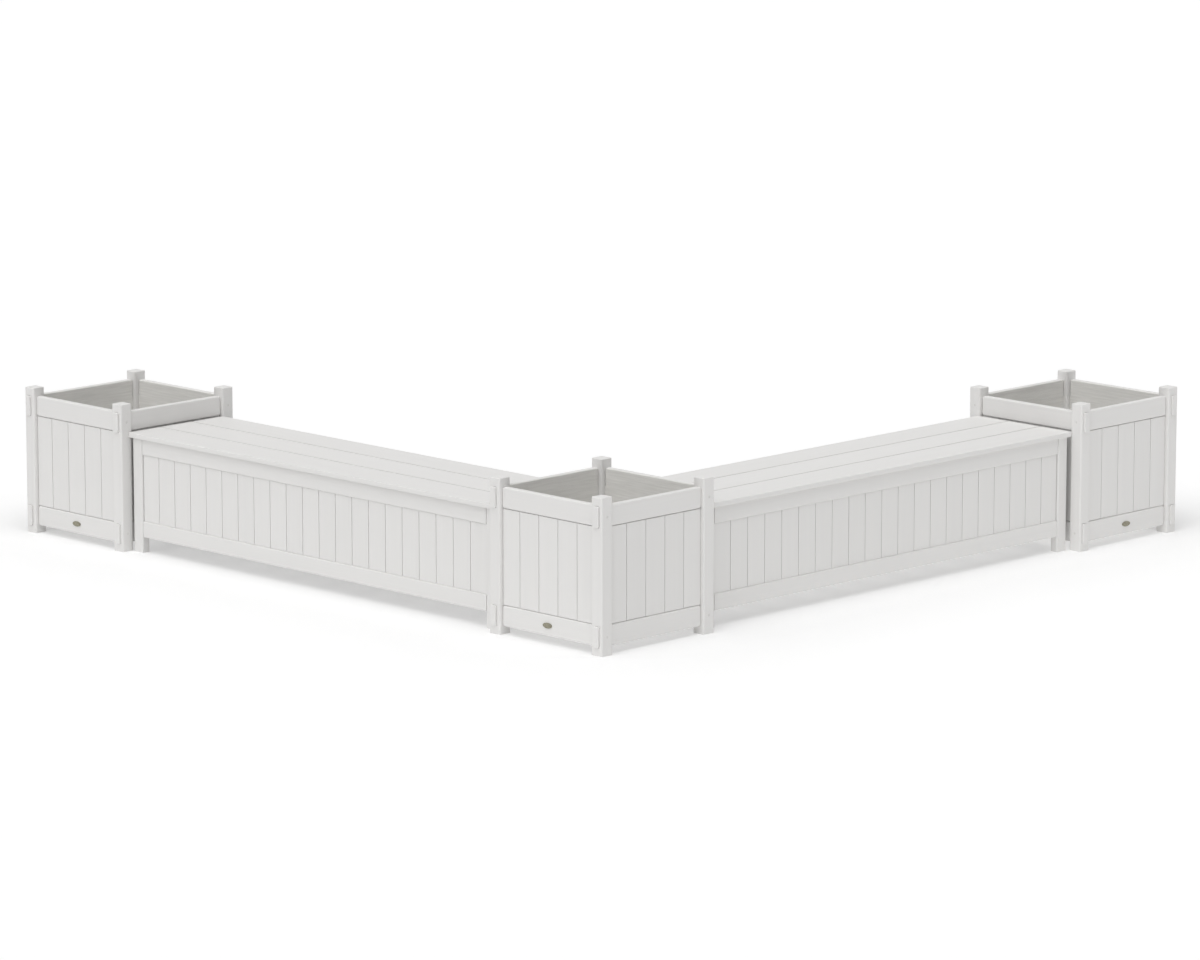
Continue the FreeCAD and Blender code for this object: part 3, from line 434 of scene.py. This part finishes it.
def lumber_material(name, along, across=None, middle=0.0, pitch=1.0, planter_middle=None,
                    seat_centre=None):
    """Off-white plastic lumber whose grain runs along X, Y or Z.

    Where the pieces are boards side by side, across is the axis that they are counted along, and
    each board has its own tone and its own part of the grain. Where planter_middle is given, the
    faces that look into that planter have a rougher grain relief, and partly painted shade in a
    warmer paint with the grain in stronger contrast. Where seat_centre is given, the seams
    between the seat's planks get painted shade."""
    material, tree, shader, place = new_material(name)
    inside = inside_planter(tree, place, planter_middle) if planter_middle else None
    seam_shade = None if seat_centre is None else seat_seam_shade(tree, place, across, seat_centre)
    tone = None
    if across:
        number = board_number(tree, place, across, middle, pitch)
        chance = add_node(tree, "ShaderNodeTexWhiteNoise", {"W": number}, noise_dimensions="1D")
        tone = chance.outputs["Value"]
        shift = add_node(tree, "ShaderNodeVectorMath", {0: chance.outputs["Color"], 1: BOARD_SHIFT_M},
                         operation="MULTIPLY").outputs[0]
        place = add_node(tree, "ShaderNodeVectorMath", {0: place, 1: shift}, operation="ADD").outputs[0]
    grain = streaks(tree, place, along, GRAIN_LENGTH_M, GRAIN_WIDTH_M, detail=5.0, roughness=0.62)
    streak = streaks(tree, place, along, STREAK_LENGTH_M, STREAK_WIDTH_M, detail=2.0, roughness=0.5)
    pits = clouds(tree, place, PIT_SIZE_M, detail=2.0, roughness=0.5)
    paint = outside_paint(tree, grain, streak, tone)
    # Relief: the sawn grain, and fine pits between its lines
    height = math_node(tree, "ADD", grain, math_node(tree, "MULTIPLY", pits, PIT_DEPTH_SHARE))
    # Faces inside a planter: a deeper relief, and partly painted shade in a warmer paint with stronger
    # grain
    if inside:
        paint = colour_mix(tree, inside, paint, inside_shade_paint(tree, place, along))
        raised = math_node(tree, "MULTIPLY_ADD", inside, INSIDE_RELIEF - 1.0, 1.0)
        height = math_node(tree, "MULTIPLY", height, raised)
    # Painted shade in the seat's seams and on the planks' rims there
    if seam_shade:
        paint = colour_mix(tree, seam_shade, paint, SEAM_SHADE_PAINT)
    roughness = roughness_from(tree, grain, LUMBER_ROUGHNESS)
    join_finish(tree, shader, paint, roughness, height, GRAIN_DEPTH_M, GRAIN_STRENGTH)
    return material


def plaque_material():
    """Aged bronze-coloured metal: satin, with a duller brown film in cloudy patches."""
    material, tree, shader, place = new_material("aged_bronze")
    cloud = clouds(tree, place, BRONZE_PATCH_M, detail=4.0)
    brushed = streaks(tree, place, "Y", BRONZE_BRUSH_LENGTH_M, BRONZE_BRUSH_WIDTH_M)
    paint = colour_mix(tree, mapped(tree, cloud, *BRONZE_PATCH_EDGE), BRONZE_FILM, BRONZE_BARE)
    roughness = mapped(tree, cloud, *BRONZE_PATCH_EDGE, *BRONZE_ROUGHNESS)
    shader.inputs["Metallic"].default_value = BRONZE_METALLIC
    join_finish(tree, shader, paint, roughness, brushed, BRONZE_BRUSH_DEPTH_M, BRONZE_BRUSH_STRENGTH)
    return material


def stainless_material():
    """Plain stainless steel with fine brush lines."""
    material, tree, shader, place = new_material("stainless_steel")
    brushed = streaks(tree, place, "Z", STEEL_BRUSH_LENGTH_M, STEEL_BRUSH_WIDTH_M)
    paint = colour_mix(tree, brushed, STEEL_DARK, STEEL_LIGHT)
    roughness = roughness_from(tree, brushed, STEEL_ROUGHNESS)
    shader.inputs["Metallic"].default_value = STEEL_METALLIC
    join_finish(tree, shader, paint, roughness, brushed, STEEL_BRUSH_DEPTH_M, STEEL_BRUSH_STRENGTH)
    return material


def coated_screw_material():
    """Off-white painted screw heads, worn a little darker in small patches."""
    material, tree, shader, place = new_material("coated_screw")
    wear = clouds(tree, place, SCREW_WEAR_M)
    paint = colour_mix(tree, mapped(tree, wear, *SCREW_WEAR_EDGE), SCREW_COAT, SCREW_WORN)
    roughness = roughness_from(tree, wear, SCREW_ROUGHNESS)
    join_finish(tree, shader, paint, roughness, wear, SCREW_WEAR_DEPTH_M, SCREW_WEAR_STRENGTH)
    return material


def along_of(unit, piece):
    """The axis that a piece's length and grain run along."""
    kind = unit.split("_")[1]
    if piece == "floor_slats":
        axis = FLOOR_SLATS_ALONG[kind]
    elif piece == "floor_bearers":
        axis = FLOOR_BEARERS_ALONG[kind]
    else:
        axis = ALONG_UNTURNED[piece]
    return QUARTER_TURN[axis] if unit.startswith("right") else axis


def board_layout(unit, piece):
    """The axis that a unit's boards or planks are counted along, and their pitch, or None."""
    if piece == "seat_planks":
        axis, pitch = "X", SEAT_PLANK_PITCH_M
    elif piece in ("front_boards", "rear_boards") and unit.endswith("planter"):
        axis, pitch = "Y", PLANTER_BOARD_PITCH_M
    elif piece in ("front_boards", "rear_boards"):
        axis, pitch = "Y", BENCH_LONG_BOARD_PITCH_M
    elif piece == "side_boards":
        axis, pitch = "X", PLANTER_BOARD_PITCH_M
    elif piece == "end_boards":
        axis, pitch = "X", BENCH_END_BOARD_PITCH_M
    else:
        return None
    if unit.startswith("right"):
        axis = QUARTER_TURN[axis]
    return axis, pitch


def lumber_for(unit, piece):
    """The lumber material for one node of one unit."""
    name = "lumber_" + unit + "_" + piece
    layout = board_layout(unit, piece)
    along = along_of(unit, piece)
    if piece in ("cross_rails", "side_rails"):
        return lumber_material(name, along, planter_middle=UNIT_MIDDLES_M[unit])
    if layout is None:
        return lumber_material(name, along)
    axis, pitch = layout
    middle = UNIT_MIDDLES_M[unit]["XY".index(axis)]
    seat_centre = middle if piece == "seat_planks" else None
    # Four boards meet at the middle, while three, five or twenty-one have one across it
    if piece != "end_boards":
        middle -= pitch / 2
    return lumber_material(name, along, axis, middle, pitch, seat_centre=seat_centre)


def dress(nodes):
    """Gives every piece its finish."""
    bronze = plaque_material()
    steel = stainless_material()
    coated = coated_screw_material()
    for name, node in nodes.items():
        unit = "_".join(name.split("_")[:2])
        piece = "_".join(name.split("_")[2:])
        if piece == "plaque":
            finish = bronze
        elif piece == "rail_screws":
            finish = coated
        elif "screws" in piece or "hinge" in piece:
            finish = steel
        else:
            finish = lumber_for(unit, piece)
        for slot in node.material_slots:
            slot.material = finish


def skirt_outline():
    """The skirt's cross-section, as distances inwards and heights. Its low edge is round."""
    radius = SKIRT_EDGE_RADIUS_M
    low = SKIRT_TOP_M - SKIRT_HEIGHT_M
    outline = [(0.0, SKIRT_TOP_M), (0.0, low)]
    for step in range(SKIRT_EDGE_STEPS + 1):
        angle = math.radians(90.0 * step / SKIRT_EDGE_STEPS)
        outline.append((SKIRT_THICKNESS_M - radius + radius * math.sin(angle),
                        low + radius - radius * math.cos(angle)))
    outline.append((SKIRT_THICKNESS_M, SKIRT_TOP_M))
    return outline


def add_skirts(unit, along):
    """The two skirts of a planter that run along one axis, as one mesh that rides with the planter."""
    middle = Vector(UNIT_MIDDLES_M[unit] + (0.0,))
    run = Vector((1.0, 0.0, 0.0)) if along == "X" else Vector((0.0, 1.0, 0.0))
    mesh = bmesh.new()
    for side in (-1, 1):
        outwards = Vector((run.y, run.x, 0.0)) * side
        rings = []
        for end in (-1, 1):
            ring = []
            for inwards, height in skirt_outline():
                reach = PLANTER_INSIDE_HALF_M + SKIRT_THICKNESS_M - inwards
                place = middle + outwards * reach + run * end * SKIRT_HALF_LENGTH_M
                ring.append(mesh.verts.new((place.x, place.y, height)))
            rings.append(ring)
        start, finish = rings
        for this in range(len(start)):
            following = (this + 1) % len(start)
            mesh.faces.new((start[this], start[following], finish[following], finish[this]))
        for ring in rings:
            mesh.faces.new(ring)
    bmesh.ops.recalc_face_normals(mesh, faces=mesh.faces)
    name = unit + "_inner_skirts_" + along.lower()
    data = bpy.data.meshes.new(name)
    mesh.to_mesh(data)
    mesh.free()
    skirts = bpy.data.objects.new(name, data)
    data.materials.append(lumber_material("lumber_" + name, along, planter_middle=UNIT_MIDDLES_M[unit]))
    bpy.context.scene.collection.objects.link(skirts)
    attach(skirts, "planters_and_bench_frames")


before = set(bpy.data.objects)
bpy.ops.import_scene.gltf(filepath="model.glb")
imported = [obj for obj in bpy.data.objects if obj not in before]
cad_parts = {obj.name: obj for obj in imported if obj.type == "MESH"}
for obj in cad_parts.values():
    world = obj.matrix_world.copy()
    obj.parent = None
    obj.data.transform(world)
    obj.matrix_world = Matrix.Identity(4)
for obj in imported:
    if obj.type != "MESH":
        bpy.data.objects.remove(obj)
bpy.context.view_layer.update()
bpy.context.scene.view_settings.view_transform = "Standard"
add_camera()
add_lamp("key_lamp", KEY_STRENGTH, KEY_HEADING_DEG, KEY_ELEVATION_DEG, KEY_WIDTH_DEG)
add_lamp("side_lamp", SIDE_STRENGTH, SIDE_HEADING_DEG, SIDE_ELEVATION_DEG, SIDE_WIDTH_DEG)
add_room()
add_floor()
dress(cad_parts)
for planter in ("left_planter", "corner_planter", "right_planter"):
    add_skirts(planter, "X")
    add_skirts(planter, "Y")
